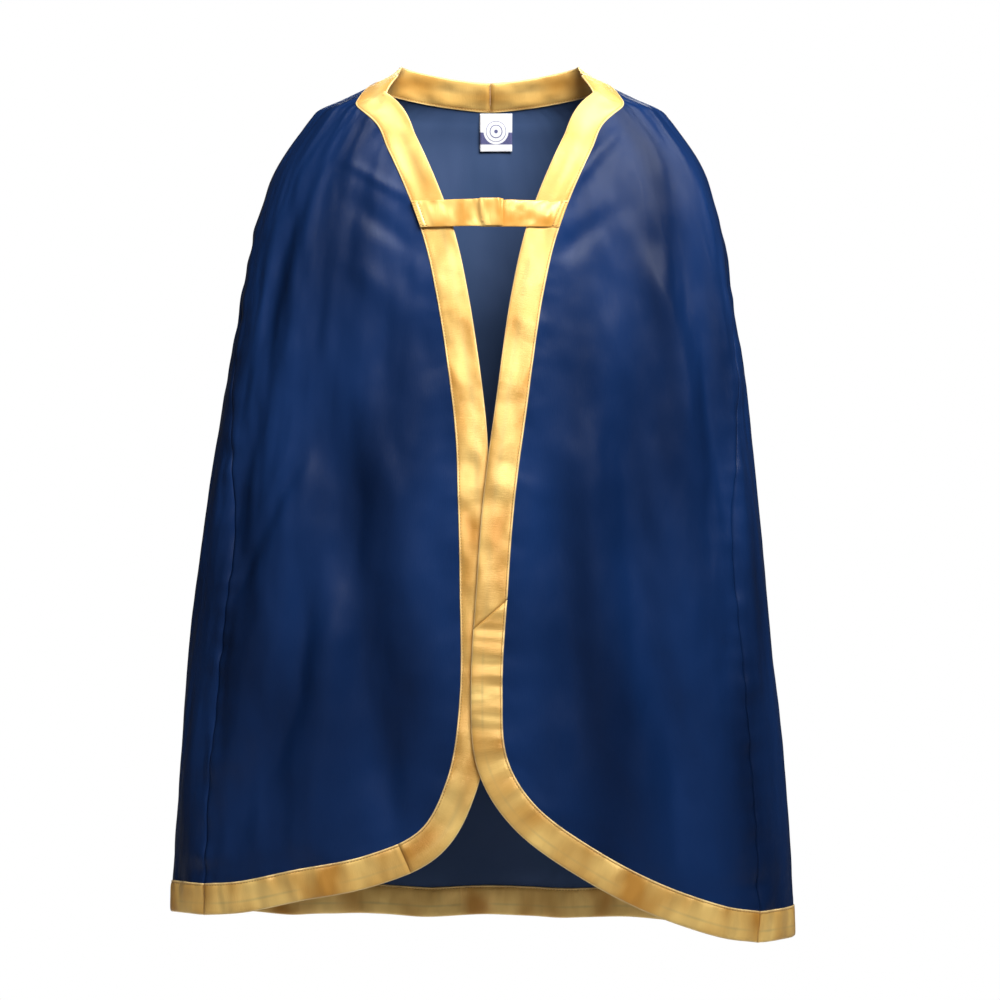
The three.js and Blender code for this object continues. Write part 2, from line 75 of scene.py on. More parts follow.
# The front edges: distance from the centre and height, from the neck down to the hem
NECK_LEAD = math.radians(104), 17.4
SHARED_NECKLINE = [(95, -16.5), (85, -38), (74, -62), (56, -109), (43, -165), (29, -264)]
LEFT_EDGE = [(20.5, -329), (15, -400), (10.5, -485), (15, -540), (38, -577), (85, -612), (140, -642),
             (195, -663)]
RIGHT_EDGE = [(26, -329), (24.5, -400), (24.5, -490), (35, -556), (58, -598), (101, -618), (160, -631),
              (205, -642)]
HEM_HEIGHT = {1: -669, -1: -646}
CORNER_HEIGHT = {1: -590, -1: -602}
JOIN_HEIGHT = {1: -422, -1: -608}
JOIN_BIAS = {1: 1.0, -1: 0.0}
BACK_HEM_HEIGHT = -667

PANEL_THICKNESS = 0.6
BAND_WIDTH = 26
BAND_HALF = 1.1
LAP = 2 * BAND_HALF + 1.4
JOIN_GAP = 0.1
SEAM_DEPTHS = 3.0, 6.5

STRAP_WIDTH = 22
STRAP_HEIGHT = -95
SEWN_LENGTH = 7.5
SEWN_MARGIN = 0.6
TOP_REACH = 11
UNDER_REACH = 8
STRAP_LIFT = 2.5
TAPE_HALF = 7.5
TOP_STRAP_LIFT = 7.0
BOX_HALF = 9.5
INNER_ROW = 1.5
OUTER_ROW = 2.1

LABEL_WIDTH = 28
LABEL_DROP = 32
LABEL_ASIDE = 5


def smooth(start, end, value):
    part = np.clip((np.asarray(value, float) - start) / (end - start), 0, 1)
    return part * part * (3 - 2 * part)


def through_points(knots, values, at):
    """A smooth curve through values at uneven knots, read at the places in at."""
    knots = np.asarray(knots, float)
    values = np.asarray(values, float).reshape(len(knots), -1)
    at = np.asarray(at, float)
    gaps = np.diff(knots)[:, None]
    chords = np.diff(values, axis=0) / gaps
    middle = chords[:-1] - (values[2:] - values[:-2]) / (gaps[:-1] + gaps[1:]) + chords[1:]
    slopes = np.vstack([chords[:1], middle, chords[-1:]])
    span = np.clip(np.searchsorted(knots, at, side="right") - 1, 0, len(knots) - 2)
    gap = gaps[span]
    part = ((at - knots[span])[:, None]) / gap
    square, cube = part ** 2, part ** 3
    return ((2 * cube - 3 * square + 1) * values[span] + (cube - 2 * square + part) * gap * slopes[span]
            + (3 * square - 2 * cube) * values[span + 1] + (cube - square) * gap * slopes[span + 1])


def body_at(height):
    height = np.atleast_1d(np.asarray(height, float))
    sizes = through_points(BODY_OUTLINE[:, 0], BODY_OUTLINE[:, 1:], np.clip(height, -719, 45))
    return sizes[:, 0], sizes[:, 1], sizes[:, 2], HEM_SWAY * smooth(0, SWAY_FULL, -height)


def body_point(turn, height):
    turn, height = np.broadcast_arrays(np.atleast_1d(turn).astype(float), np.atleast_1d(height).astype(float))
    half, front, back, sway = body_at(height)
    depth = np.where(np.abs(turn) > QUARTER, front, back)
    lapped = smooth(*LAP_TURNS, np.abs(turn)) * smooth(*LAP_HEIGHTS, -height)
    return np.stack([sway + half * np.sin(turn), depth * np.cos(turn) - np.sign(turn) * lapped * LAP / 2,
                     height], 1)


def unit(vectors):
    return vectors / np.maximum(np.linalg.norm(vectors, axis=1, keepdims=True), 1e-9)


def body_normal(turn, height):
    around = body_point(turn + 0.001, height) - body_point(turn - 0.001, height)
    upward = body_point(turn, height + 0.05) - body_point(turn, height - 0.05)
    return unit(np.cross(upward, around))


def turn_at(x, height):
    half, _, _, sway = body_at(height)
    side = np.where(np.asarray(x) >= 0, 1, -1)
    return side * math.pi - np.arcsin((x - sway) / half)


def seam_turn(side, height):
    return side * (QUARTER + SEAM_DRIFT * smooth(60, 400, -np.asarray(height, float)))


def back_neck_height(turn):
    rise = np.abs(np.cos(QUARTER - np.abs(turn))) ** BACK_NECK_FULLNESS
    return BACK_NECK_HEIGHT + (NECK_POINT - BACK_NECK_HEIGHT) * rise


def back_hem_height(turn):
    side = np.where(turn < 0, -1, 1)
    end = np.where(side > 0, HEM_HEIGHT[1], HEM_HEIGHT[-1])
    reach = np.abs(turn / np.where(side > 0, seam_turn(1, HEM_HEIGHT[1]), seam_turn(-1, HEM_HEIGHT[-1])))
    return BACK_HEM_HEIGHT + (end - BACK_HEM_HEIGHT) * smooth(0, 1, reach)


def binding_lean(turn):
    half, front, _, _ = body_at(STRAP_HEIGHT)
    settle = -math.asin(BAND_WIDTH / 2 / (half[0] ** 2 / front[0]))
    behind = STAND_ANGLE * np.sin(2 * turn) ** 2
    return np.where(np.abs(turn) < QUARTER, behind, settle * smooth(QUARTER, math.radians(120), np.abs(turn)))


def frames_along(turn, height, handed, lean=None):
    points = body_point(turn, height)
    ahead = np.vstack([points[1:], points[-1:]])
    behind = np.vstack([points[:1], points[:-1]])
    surface = body_normal(turn, height)
    travel = ahead - behind
    travel = unit(travel - surface * np.sum(travel * surface, 1, keepdims=True))
    across = np.cross(travel, surface) * handed
    angle = np.zeros(len(points)) if lean is None else lean(turn)
    tip = np.cos(angle)[:, None]
    rise = np.sin(angle)[:, None]
    length = np.concatenate([[0], np.cumsum(np.linalg.norm(np.diff(points, axis=0), axis=1))])
    return {"turn": turn, "height": height, "point": points, "travel": travel, "length": length,
            "width": across * tip + surface * rise, "normal": surface * tip - across * rise}


def part_of(frames, start, end):
    return {name: values[start:end] for name, values in frames.items()}


# Millimetres to a radian while the stations of a front edge are spaced out
EDGE_SCALE = 200


def front_edge_stations(side, count):
    """The bound edge of one front, from the point of the shoulder down to the side seam."""
    marks = [(side * QUARTER, NECK_POINT), (side * NECK_LEAD[0], NECK_LEAD[1])]
    for distance, height in SHARED_NECKLINE + (LEFT_EDGE if side > 0 else RIGHT_EDGE):
        marks.append((float(turn_at(np.array([side * distance]), height)[0]), height))
    marks.append((float(seam_turn(side, HEM_HEIGHT[side])), HEM_HEIGHT[side]))
    marks = np.array(marks, float) * (EDGE_SCALE, 1)
    knots = np.concatenate([[0], np.cumsum(np.linalg.norm(np.diff(marks, axis=0), axis=1) ** 0.5)])
    fine = through_points(knots, marks, np.linspace(0, knots[-1], 4000))
    run = np.concatenate([[0], np.cumsum(np.linalg.norm(np.diff(fine, axis=0), axis=1))])
    even = np.linspace(0, run[-1], count + 1)
    return np.interp(even, run, fine[:, 0]) / EDGE_SCALE, np.interp(even, run, fine[:, 1])


NECK_STEPS = 46
EDGE_STEPS = 330


def bound_edge(side):
    behind = side * np.linspace(-QUARTER / NECK_STEPS, QUARTER, NECK_STEPS + 2)[:-1]
    turn, height = front_edge_stations(side, EDGE_STEPS)
    frames = frames_along(np.concatenate([behind, turn]),
                          np.concatenate([back_neck_height(behind), height]), side, binding_lean)
    return part_of(frames, 1, None)


def ease_fold(chain, middle, spread, window):
    """Lets a strip round a tight corner by sharing the turn of its width over the places beside it."""
    place = chain["length"] - chain["length"][middle]
    part = np.exp(-(place / spread) ** 2)[:, None]
    for name in ("width", "normal"):
        share = np.exp(-((place[:, None] - place[None]) / window) ** 2)
        shared = unit(share @ chain[name])
        chain[name] = unit(chain[name] * (1 - part) + shared * part)


EDGES = {side: bound_edge(side) for side in (1, -1)}
for side in (1, -1):
    ease_fold(EDGES[side], NECK_STEPS, 40, 21)
HEM_TURNS = np.concatenate([
    seam_turn(-1, HEM_HEIGHT[-1]) * np.linspace(1, 0, 121)[:-1],
    seam_turn(1, HEM_HEIGHT[1]) * np.linspace(0, 1, 121),
])
HEM = frames_along(HEM_TURNS, back_hem_height(HEM_TURNS), -1)


def mitre(chain, end, width, normal):
    """Turns the end of a chain so that its strip meets the next one all the way across."""
    part = (1 - smooth(0, 30, np.abs(chain["length"] - chain["length"][end])))[:, None]
    chain["width"] = unit(chain["width"] * (1 - part) + width * part)
    chain["normal"] = unit(chain["normal"] * (1 - part) + normal * part)


for side, hem_end in ((1, -1), (-1, 0)):
    width = unit((EDGES[side]["width"][-1] + HEM["width"][hem_end])[None])[0]
    normal = unit((EDGES[side]["normal"][-1] + HEM["normal"][hem_end])[None])[0]
    mitre(EDGES[side], -1, width, normal)
    mitre(HEM, hem_end, width, normal)
    width = unit((EDGES[1]["width"][0] + EDGES[-1]["width"][0])[None])[0]
    normal = unit((EDGES[1]["normal"][0] + EDGES[-1]["normal"][0])[None])[0]
    mitre(EDGES[side], 0, width, normal)

# Folds the satin hangs in: (x, height) down the fold, how far it stands out, half width.
# Negative ones are valleys.
FRONT_FOLDS = [
    # wearer's right front
    ([(-130, -230), (-122, -330), (-108, -430), (-90, -540), (-76, -640)], -8, 20),
    ([(-150, -250), (-166, -340), (-182, -430), (-206, -525), (-236, -600)], 6, 22),
    ([(-150, -360), (-158, -470), (-184, -545), (-216, -620)], -6, 17),
    ([(-128, -380), (-138, -480), (-142, -560), (-158, -640)], 7, 17),
    ([(-146, -270), (-163, -305), (-184, -350), (-206, -398), (-226, -425)], -4, 9),
    ([(-194, -240), (-208, -330), (-214, -420)], -4, 11),
    ([(-152, -80), (-166, -106), (-176, -140), (-184, -190), (-192, -240)], -3.5, 8),
    ([(-136, -60), (-152, -110), (-162, -180), (-172, -260)], 3, 11),
    ([(-118, -48), (-98, -62), (-64, -84)], 3, 8),
    ([(-108, -80), (-84, -108), (-62, -128)], -3.5, 13),
    ([(-112, -130), (-90, -154), (-78, -180)], 2.6, 16),
    ([(-84, -260), (-68, -400), (-52, -540)], 5, 18),
    ([(-112, -160), (-104, -240), (-98, -330)], 2.5, 15),
    # wearer's left front
    ([(108, -18), (78, -56), (54, -90)], 3, 8),
    ([(96, -90), (70, -118), (52, -140)], -4, 14),
    ([(112, -96), (128, -130), (150, -186), (166, -262), (176, -340)], 4.5, 12),
    ([(138, -60), (154, -100), (172, -180), (190, -290), (204, -400)], -5.5, 13),
    ([(150, -20), (172, -70), (186, -120)], 3, 8),
    ([(104, -200), (114, -330), (124, -430), (148, -520), (166, -640)], -8, 19),
    ([(78, -230), (88, -400), (98, -500), (96, -600)], 6, 20),
    ([(150, -320), (180, -440), (208, -560), (226, -640)], 6, 20),
    ([(54, -300), (64, -430), (80, -560)], -4.5, 15),
    ([(186, -420), (202, -520), (222, -620)], -5, 14),
    ([(122, -520), (126, -590), (136, -650)], 5, 17),
]
BACK_FOLDS = [
    ([(-150, -90), (-178, -300), (-206, -500), (-226, -720)], 6, 20),
    ([(-112, -120), (-138, -320), (-160, -520), (-178, -720)], -8, 22),
    ([(-70, -60), (-88, -280), (-104, -500), (-112, -720)], 7, 24),
    ([(-34, -160), (-44, -340), (-52, -520), (-56, -720)], -7, 22),
    ([(4, -90), (2, -300), (0, -500), (-4, -720)], 6, 24),
    ([(44, -170), (54, -340), (58, -520), (60, -720)], -7, 21),
    ([(80, -70), (100, -280), (112, -500), (118, -720)], 7, 23),
    ([(120, -110), (146, -320), (164, -520), (174, -720)], -8, 22),
    ([(152, -80), (182, -300), (204, -500), (222, -720)], 6, 20),
]


def wave(a, b, seed):
    return np.array([noise.noise((float(x), float(y), seed)) for x, y in zip(a, b)])


def ripple(turn, height, broad, tall, seed):
    """Noise that runs all the way round the body without a break."""
    size = CLOTH_RADIUS / broad
    across, deep, up = size * np.sin(turn), size * np.cos(turn), height / tall + seed
    return np.array([noise.noise(place) for place in zip(across.tolist(), deep.tolist(), up.tolist())])


def on_body(points):
    """The turn and height of points that lie on or near the cloth."""
    height = np.clip(points[:, 2], -715, 15)
    half, front, back, sway = body_at(height)
    depth = np.where(points[:, 1] > 0, back, front)
    return np.arctan2((points[:, 0] - sway) / half, points[:, 1] / depth), height


def reach(turn, height):
    """Millimetres of cloth to a radian of turn."""
    half, front, back, _ = body_at(height)
    depth = np.where(np.abs(turn) > QUARTER, front, back)
    return np.hypot(half * np.cos(turn), depth * np.sin(turn))


def fold_height(turn, height):
    """How far the hanging cloth stands out from the smooth body shape."""
    total = np.zeros(len(turn))
    for folds, behind in ((FRONT_FOLDS, False), (BACK_FOLDS, True)):
        for line, stand, half_width in folds:
            line = np.array(line, float)[::-1]
            level = np.clip(height, line[0, 1], line[-1, 1])
            x = through_points(line[:, 1], line[:, 0], level)[:, 0]
            half, _, _, sway = body_at(level)
            centre = np.arcsin(np.clip((x - sway) / half, -0.995, 0.995))
            if not behind:
                centre = np.where(x >= 0, math.pi, -math.pi) - centre
            gap = (turn - centre + math.pi) % (2 * math.pi) - math.pi
            aside = gap * reach(centre, level)
            ease = 26 + (line[-1, 1] - line[0, 1]) * 0.18
            ends = smooth(line[0, 1] - 12, line[0, 1] + ease, height) if line[0, 1] > -700 else 1
            ends = ends * smooth(-line[-1, 1] - 12, -line[-1, 1] + ease, -height)
            total += stand * np.exp(-(aside / half_width) ** 2) * ends
    return total


def near_edge():
    """A tree of the places along every bound edge, to tell how far a bit of cloth is from one."""
    places = np.vstack([EDGES[1]["point"][NECK_STEPS:], EDGES[-1]["point"][NECK_STEPS:], HEM["point"]])
    tree = kdtree.KDTree(len(places))
    for index, place in enumerate(places):
        tree.insert((place[0], place[1] * 0.35, place[2]), index)
    tree.balance()
    return tree


EDGE_TREE = near_edge()


def from_edge(turn, height):
    return np.array([EDGE_TREE.find((x, y * 0.35, z))[2] for x, y, z in body_point(turn, height).tolist()])


def crumple(turn, height):
    """Small ripples: over the whole cloth, and drawn up along seams and bound edges."""
    down = smooth(20, 160, -height)
    total = 2.6 * down * ripple(turn, height, 52, 170, 3.1)
    total += 1.3 * down * ripple(turn, height, 21, 66, 9.7)
    total += 0.22 * ripple(turn, height, 8.5, 19, 25.3)
    edge = from_edge(turn, height)
    total += 1.5 * smooth(60, 170, -height) * np.exp(-edge / 21) * ripple(turn, height, 24, 19, 41.4)
    total += 0.55 * smooth(-30, 20, -height) * np.exp(-edge / 10) * ripple(turn, height, 9, 9, 63.8)
    for side in (1, -1):
        seam = (turn - seam_turn(side, height)) * reach(turn, height)
        drawn = smooth(30, 150, -height)
        total -= 0.9 * np.exp(-(seam / 1.8) ** 2)
        total += 2.6 * drawn * ripple(turn, height, 60, 15, 77.7) * np.exp(-np.abs(seam) / 11)
    return total


def drape(points):
    turn, height = on_body(points)
    away = fold_height(turn, height) + crumple(turn, height)
    return points + body_normal(turn, height) * away[:, None]


def spot(frames, along, across, lift):
    """Points beside a chain of frames: along the travel, across the width and off the surface."""
    def column(value):
        return np.broadcast_to(np.asarray(value, float), len(frames["turn"]))[:, None]
    return (frames["point"] + frames["travel"] * column(along) + frames["width"] * column(across)
            + frames["normal"] * column(lift))


# ---- making meshes ----

def make_piece(name, points, faces, uv, materials):
    mesh = bpy.data.meshes.new(name)
    mesh.from_pydata((np.asarray(points) * MM).tolist(), [], [tuple(int(i) for i in face) for face in faces])
    layer = mesh.uv_layers.new(name="cloth")
    corners = np.zeros(len(mesh.loops), int)
    mesh.loops.foreach_get("vertex_index", corners)
    layer.data.foreach_set("uv", (np.asarray(uv, float) * MM)[corners].ravel())
    for material in materials:
        mesh.materials.append(material)
    mesh.polygons.foreach_set("use_smooth", np.ones(len(mesh.polygons), bool))
    mesh.update()
    piece = bpy.data.objects.new(name, mesh)
    bpy.context.scene.collection.objects.link(piece)
    return piece


def quads(rows, columns, start=0, flip=False):
    row, column = np.meshgrid(np.arange(rows), np.arange(columns), indexing="ij")
    a = start + row * (columns + 1) + column
    faces = np.stack([a, a + columns + 1, a + columns + 2, a + 1], -1).reshape(-1, 4)
    return faces[:, ::-1] if flip else faces


def tube_faces(rings, count):
    """A closed tube: walls between rings of count points each, and a cap on both ends."""
    ring, place = np.meshgrid(np.arange(rings - 1), np.arange(count), indexing="ij")
    a = ring * count + place
    b = ring * count + (place + 1) % count
    faces = [tuple(face) for face in np.stack([a, b, b + count, a + count], -1).reshape(-1, 4)]
    faces.append(tuple(range(count))[::-1])
    faces.append(tuple(range((rings - 1) * count, rings * count)))
    return faces


def patch(top, bottom, left, right):
    """A four-sided patch of cloth between its borders, each an array of (turn, height)."""
    rows, columns = len(left) - 1, len(top) - 1
    down = (left[:, 1] - left[0, 1]) / (left[-1, 1] - left[0, 1])
    down = down[:, None, None]
    side = np.linspace(0, 1, columns + 1)[None, :, None]
    ruled = (1 - side) * left[:, None] + side * right[:, None] + (1 - down) * top[None] + down * bottom[None]
    corners = ((1 - down) * ((1 - side) * top[0] + side * top[-1])
               + down * ((1 - side) * bottom[0] + side * bottom[-1]))
    return (ruled - corners).reshape(-1, 2), rows, columns


def cloth_uv(turn, height):
    return np.stack([turn * CLOTH_RADIUS, height], 1)


def thicken(piece, thickness):
    solid = piece.modifiers.new("cloth thickness", "SOLIDIFY")
    solid.thickness = thickness * MM
    solid.offset = 0
    solid.material_offset = 1
    solid.material_offset_rim = 0
    solid.use_rim = True


def front_panel(side, materials):
    edge = part_of(EDGES[side], NECK_STEPS, None)
    corner = int(np.argmin(np.abs(edge["height"] - CORNER_HEIGHT[side])))
    columns = len(edge["turn"]) - 1 - corner
    place = np.stack([edge["turn"], edge["height"]], 1)
    left, bottom = place[:corner + 1], place[corner:]
    share = (left[:, 1] - left[0, 1]) / (left[-1, 1] - left[0, 1])
    level = SHOULDER_TIP + (HEM_HEIGHT[side] - SHOULDER_TIP) * share
    right = np.stack([seam_turn(side, level), level], 1)
    ridge = np.linspace(NECK_POINT, SHOULDER_TIP, columns + 1)
    top = np.stack([np.full(columns + 1, side * QUARTER), ridge], 1)
    places, rows, columns = patch(top, bottom, left, right)
    parts = ([body_point(places[:, 0], places[:, 1])], [cloth_uv(places[:, 0], places[:, 1])],
             [quads(rows, columns)])
    grid = np.arange((rows + 1) * (columns + 1)).reshape(rows + 1, columns + 1)
    add_rows(parts, np.concatenate([grid[:, 0], grid[-1, 1:]]),
             [(spot(edge, 0, u, 0), cloth_uv(edge["turn"] + u / CLOTH_RADIUS, edge["height"]))
              for u in SEAM_DEPTHS])
    add_rows(parts, grid[:, -1], turned_in(right[:, 0], right[:, 1], side))
    name = ("left" if side > 0 else "right") + "_front_cloth"
    return sheet_piece(name, parts, materials)


def sheet_piece(name, parts, materials):
    points, uv, faces = parts
    piece = make_piece(name, drape(np.vstack(points)), np.vstack(faces), np.vstack(uv), materials)
    face_outward(piece)
    thicken(piece, PANEL_THICKNESS)
    return piece


def face_outward(piece):
    """Winds every face of an open sheet the same way, with its outer side away from the body."""
    mesh = piece.data
    sheet = bmesh.new()
    sheet.from_mesh(mesh)
    bmesh.ops.recalc_face_normals(sheet, faces=sheet.faces)
    sheet.to_mesh(mesh)
    sheet.free()
    inward = sum(face.normal.dot(face.center - Vector((0, 0, face.center.z))) for face in mesh.polygons)
    if inward < 0:
        mesh.flip_normals()


def turned_in(turn, height, toward):
    """Rows of places for a seam allowance: folded in at the seam and pressed back under its own panel."""
    rows = []
    for across, lift in ((0, -0.8), (7, -1.1)):
        place = turn + toward * across / reach(turn, height)
        rows.append((body_point(place, height) + body_normal(place, height) * lift,
                     cloth_uv(place - toward * 2 * across / reach(turn, height), height)))
    return rows


def add_rows(parts, rim, rows):
    """Sews further rows of points onto a rim of a sheet held as lists of points, uv and faces."""
    points, uv, faces = parts
    for fresh_points, fresh_uv in rows:
        start = sum(len(part) for part in points)
        points.append(fresh_points)
        uv.append(fresh_uv)
        fresh = np.arange(start, start + len(rim))
        faces.append(np.stack([rim[:-1], fresh[:-1], fresh[1:], rim[1:]], 1))
        rim = fresh


def back_panel(materials):
    rows, half = 190, (len(HEM["turn"]) - 1) // 2
    share = np.linspace(0, 1, rows + 1) ** 1.3
    neck_turn = np.linspace(-QUARTER, QUARTER, 2 * half + 1)
    sides = []
    for side in (-1, 1):
        level = NECK_POINT + (HEM_HEIGHT[side] - NECK_POINT) * share
        sides.append(np.stack([seam_turn(side, level), level], 1))
    top = np.stack([neck_turn, back_neck_height(neck_turn)], 1)
    bottom = np.stack([HEM["turn"], HEM["height"]], 1)
    places, rows, columns = patch(top, bottom, *sides)
    parts = ([body_point(places[:, 0], places[:, 1])], [cloth_uv(places[:, 0], places[:, 1])],
             [quads(rows, columns)])
    grid = np.arange((rows + 1) * (columns + 1)).reshape(rows + 1, columns + 1)
    neck = frames_along(neck_turn, back_neck_height(neck_turn), 1, binding_lean)
    for rim, frames in ((grid[0], neck), (grid[-1], HEM)):
        add_rows(parts, rim, [(spot(frames, 0, u, 0), cloth_uv(frames["turn"], frames["height"] + u))
                              for u in SEAM_DEPTHS])
    for rim, border, side in ((grid[:, 0], sides[0], -1), (grid[:, -1], sides[1], 1)):
        add_rows(parts, rim, turned_in(border[:, 0], border[:, 1], -side))
    return sheet_piece("back_cloth", parts, materials)


# One leaf of the folded strip: distance from the seam edge, height off the middle of the strip.
# The leaf dips at the row of stitches and plumps out on both sides of it.
LEAF = [(0, 0.35), (0.1, 0.95), (0.7, 1.3), (1.3, 1.12), (1.8, 0.92), (2.3, 1.12), (3.2, 1.4), (5.5, 1.55),
        (9, 1.5), (13, 1.42), (18, 1.4), (22, 1.35), (24.3, 1.2), (25.5, 0.75), (26, 0.2)]
BAND_OUTLINE = np.array(LEAF + [(u, -v) for u, v in reversed(LEAF)])


def band(name, frames, cut_start, cut_end, material, seed):
    run = frames["length"]
    from_start, from_end = run - run[0], run[-1] - run
    start_pull, end_pull = 1 - smooth(0, 46, from_start), 1 - smooth(0, 46, from_end)
    sunk = 0.5 + 0.5 * smooth(0, 1.8, np.minimum(from_start, from_end))
    stand = 4.0 * np.exp(-((np.abs(frames["turn"]) - 1.2) / 0.26) ** 2)
    points = []
    uv = []
    for u, v in BAND_OUTLINE:
        shift = (u - BAND_WIDTH / 2) * (cut_start * start_pull + cut_end * end_pull)
        shift = shift + JOIN_GAP / 2 * ((from_start == 0) * 1.0 - (from_end == 0))
        place = run + shift
        puff = 0.30 * wave(place / 4.2, np.full(len(run), u / 15), seed) * smooth(0, 2.4, u)
        sway = 0.42 * wave((place + 0.7 * u) / 15, np.full(len(run), u / 26), seed + 4) * smooth(0, 9, u)
        crease = 0.5 * wave((place - 0.9 * u) / 33, np.full(len(run), u / 60), seed + 7) * smooth(0, 12, u)
        lift = (v + math.copysign(1, v) * puff * min(abs(v), 1)) * sunk + sway + crease
        points.append(spot(frames, shift, u + stand * u / BAND_WIDTH * (frames["height"] > -5), lift))
        uv.append(np.stack([place, np.full(len(run), u * (1 if v > 0 else -1))], 1))
    points = np.stack(points, 1).reshape(-1, 3)
    uv = np.stack(uv, 1).reshape(-1, 2)
    piece = make_piece(name, drape(points), tube_faces(len(run), len(BAND_OUTLINE)), uv, [material])
    settle_normals(piece)
    return piece


def settle_normals(piece):
    """Turns a closed piece right side out."""
    mesh = piece.data
    mesh.calc_loop_triangles()
    volume = 0.0
    for triangle in mesh.loop_triangles:
        a, b, c = (mesh.vertices[index].co for index in triangle.vertices)
        volume += a.dot(b.cross(c))
    if volume < 0:
        mesh.flip_normals()


# ---- straps ----

def chest_spot(x, height, lift):
    x, height, lift = np.broadcast_arrays(*(np.asarray(value, float).ravel() for value in (x, height, lift)))
    half, _, _, sway = body_at(height)
    turn = math.pi - np.arcsin((x - sway) / half)
    return body_point(turn, height) + body_normal(turn, height) * lift[:, None]


def chest_edge(side, height):
    edge = part_of(EDGES[side], NECK_STEPS, None)
    x = body_point(edge["turn"], edge["height"])[:, 0]
    keep = edge["height"] > -300
    return np.interp(-np.asarray(height, float), -edge["height"][keep], x[keep])


def hinge_x(side, height):
    """The inner row of stitches, about which a strap folds: a straight slanted line."""
    ends = chest_edge(side, [STRAP_HEIGHT + STRAP_WIDTH / 2, STRAP_HEIGHT - STRAP_WIDTH / 2])
    part = (STRAP_HEIGHT + STRAP_WIDTH / 2 - np.asarray(height, float)) / STRAP_WIDTH
    return ends[0] + (ends[1] - ends[0]) * part - side * SEWN_LENGTH


def strap(side, material):
    """A folded strip: pressed flat where it is sewn down, then free to its square tip."""
    across = np.linspace(0, 2 * math.pi, 29)[:-1]
    rise = np.sign(np.cos(across)) * np.abs(np.cos(across)) ** 0.35 * STRAP_WIDTH / 2
    plump = np.sign(np.sin(across)) * np.abs(np.sin(across)) ** 0.55
    steps = np.linspace(0, 1, 96)
    reach_x = -side * (TOP_REACH if side < 0 else UNDER_REACH)
    points, uv = [], []
    for step in steps:
        height = STRAP_HEIGHT + rise
        hinge = hinge_x(side, height)
        start = hinge + side * (SEWN_LENGTH - SEWN_MARGIN)
        x = start + (reach_x - start) * step
        past = (hinge - x) * side
        full = abs(float(hinge_x(side, STRAP_HEIGHT)) - reach_x)
        lift = np.full(len(across), STRAP_LIFT)
        if side < 0:
            lift = lift + 2.6 * smooth(2, full - 22, past) + 1.9 * smooth(full - 22, full - 17, past)
            lift = lift + 0.5 * smooth(full - 5, full, past)
        outer = past + SEWN_LENGTH - OUTER_ROW
        stitched = np.exp(-((past + INNER_ROW) / 0.9) ** 2) + np.exp(-(outer / 0.9) ** 2)
        taped = np.exp(-((past - full + 13.5) / 0.8) ** 2) if side < 0 else 0
        thick = 0.72 + 0.2 * smooth(0, 6, past) - 0.3 * stitched - 0.25 * taped
        thick = thick * (0.55 + 0.45 * smooth(0, 0.03, step) * smooth(0, 0.02, 1 - step))
        pressed = smooth(9, 14, np.abs(x))
        wrinkle = (0.7 + 1.5 * wave((past - 0.4 * rise) / 19, rise / 24, 4.4 + side)) * smooth(0, 6, past)
        wrinkle = (wrinkle + 0.22 * wave((past + rise) / 6, rise / 9, 1.0 + side)) * pressed
        pinched = np.exp(-((past - 7) / 5) ** 2)
        wrinkle += pinched * (1.1 * np.cos(rise / 3.4) - 0.9 * rise / 11)
        if side < 0:
            wrinkle += 0.11 * (rise + 11) * (1 - smooth(7, 10, np.abs(x)))
        points.append(chest_spot(x, height, lift + plump * thick + wrinkle - 0.25 * stitched))
        uv.append(np.stack([x, rise + np.where(plump < 0, 140, 100)], 1))
    name = ("left" if side > 0 else "right") + "_strap_cloth"
    faces = tube_faces(len(steps), len(across))
    piece = make_piece(name, np.vstack(points), faces, np.vstack(uv), [material])
    settle_normals(piece)
    return piece


def neck_label(material):
    """A folded tab of woven ribbon, bowed a little off the back and doubled at its foot."""
    rows, columns = 40, 16
    points, uv = [], []
    for lift_side in (1, -1):
        for row in range(rows + 1):
            down = row / rows
            height = BACK_NECK_HEIGHT - 0.4 - LABEL_DROP * down
            x = LABEL_ASIDE + LABEL_WIDTH * (np.linspace(0, 1, columns + 1) - 0.5)
            half, _, _, sway = body_at(height)
            turn = np.arcsin((x - sway) / half)
            bow = 0.9 * math.sin(math.pi * down) ** 0.8 + 0.5 * down
            half_thick = 0.22 + 0.3 * math.sin(math.pi * min(1, down * 1.02)) ** 0.5
            curl = 0.35 * ((x - LABEL_ASIDE) * 2 / LABEL_WIDTH) ** 2 * down
            lift = -(0.3 + 0.5 + 0.4 + bow + curl) + lift_side * half_thick
            level = np.full(columns + 1, height)
            points.append(body_point(turn, level) + body_normal(turn, level) * lift[:, None])
            uv.append(np.stack([x - LABEL_ASIDE, np.full(columns + 1, -LABEL_DROP * down)], 1))
    points, uv = np.vstack(points), np.vstack(uv)
    size = (rows + 1) * (columns + 1)
    faces = [quads(rows, columns), quads(rows, columns, size, flip=True)]
    grid = np.arange(size).reshape(rows + 1, columns + 1)
    border = np.concatenate([grid[0], grid[1:, -1], grid[-1, -2::-1], grid[-2:0:-1, 0]])
    around = np.roll(border, -1)
    faces.append(np.stack([border, around, around + size, border + size], 1))
    piece = make_piece("neck_label_tab", points, np.vstack(faces), uv, [material])
    settle_normals(piece)
    return piece


# ---- stitching ----

